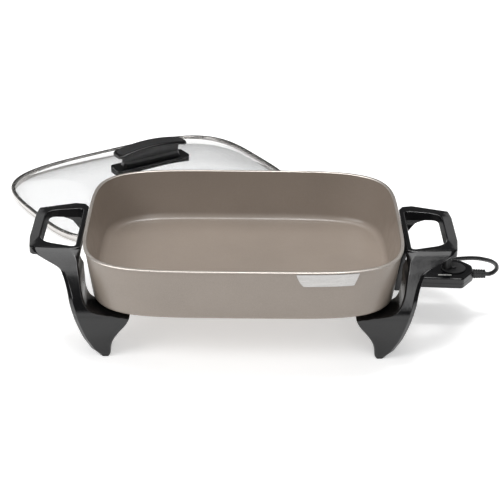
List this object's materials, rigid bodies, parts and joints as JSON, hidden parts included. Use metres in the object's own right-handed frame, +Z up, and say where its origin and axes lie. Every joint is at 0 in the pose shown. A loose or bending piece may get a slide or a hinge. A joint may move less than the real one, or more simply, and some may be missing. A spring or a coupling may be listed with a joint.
{
  "type": "electric skillet",
  "caption": "Rectangular non-stick electric skillet on moulded handle legs, with a loose domed glass cover beside it and a plug-in dial heat control with cord and plug.",
  "frame": {"origin": "on the floor under the middle of the bounding box of the pan, frames, control and cover, without the cord, coil, tie and plug", "axes": "+Z up, +X from the pan towards the heat control, +Y from the pan towards the cover behind it"},
  "size_m": [0.6988, 0.738, 0.133],
  "materials": {
    "pan_coating": "satin non-stick coating on cast aluminium",
    "polished_steel": "polished",
    "steel": "plain",
    "rim_steel": "polished",
    "ceramic": null,
    "aluminium": "plain",
    "gloss_black": "gloss",
    "satin_black": "satin",
    "glass": "clear",
    "silicone": "matt",
    "cord_rubber": "satin",
    "brass": "plain",
    "lamp": "clear with an orange glow",
    "lens": "translucent"
  },
  "bodies": {
    "base": {"pan": "pan_coating", "name_plate": "polished_steel", "heating_element": "steel", "terminal_pin_front": "polished_steel", "terminal_pin_rear": "polished_steel", "terminal_insulator_front": "ceramic", "terminal_insulator_rear": "ceramic", "terminal_bracket": "steel", "bracket_screw_front": "steel", "bracket_screw_rear": "steel", "probe_sleeve": "aluminium", "side_frame_left": "gloss_black", "side_frame_right": "gloss_black", "leg_screw_front_left": "steel", "leg_screw_front_right": "steel", "leg_screw_rear_left": "steel", "leg_screw_rear_right": "steel"},
    "cover": {"lid_glass": "glass", "lid_rim": "rim_steel", "lid_gasket": "silicone", "lid_screw_left": "steel", "lid_screw_right": "steel", "lid_handle_body": "gloss_black", "lid_handle_cap": "gloss_black", "lid_handle_insert": "satin_black", "lid_backing_plate": "steel"},
    "control": {"control_base": "gloss_black", "control_cover": "gloss_black", "case_screw_front": "steel", "case_screw_rear": "steel", "control_nose": "satin_black", "contact_socket_front": "brass", "contact_socket_rear": "brass", "probe_rod": "aluminium", "thermostat_base": "satin_black", "thermostat_blade": "steel", "contact_arm": "brass", "pilot_lamp": "lamp", "indicator_lens": "lens", "strain_relief": "cord_rubber", "cord": "cord_rubber", "cord_coil": "cord_rubber", "cord_tie": "silicone", "plug": "cord_rubber", "plug_blade_front": "brass", "plug_blade_rear": "brass"},
    "dial": {"control_dial": "satin_black", "dial_shaft": "steel"}
  },
  "joints": [
    {"name": "lid_lift", "type": "slide", "parent": "base", "child": "cover", "axis": [0, 0, 1], "range_m": [0, 0.25]},
    {"name": "control_pull", "type": "slide", "parent": "base", "child": "control", "axis": [1, 0, 0], "range_m": [0, 0.09]},
    {"name": "dial_turn", "type": "hinge", "parent": "control", "child": "dial", "pos_m": [0.29575, -0.212, 0.0627], "axis": [0, 0, -1], "range_deg": [0, 270]}
  ]
}
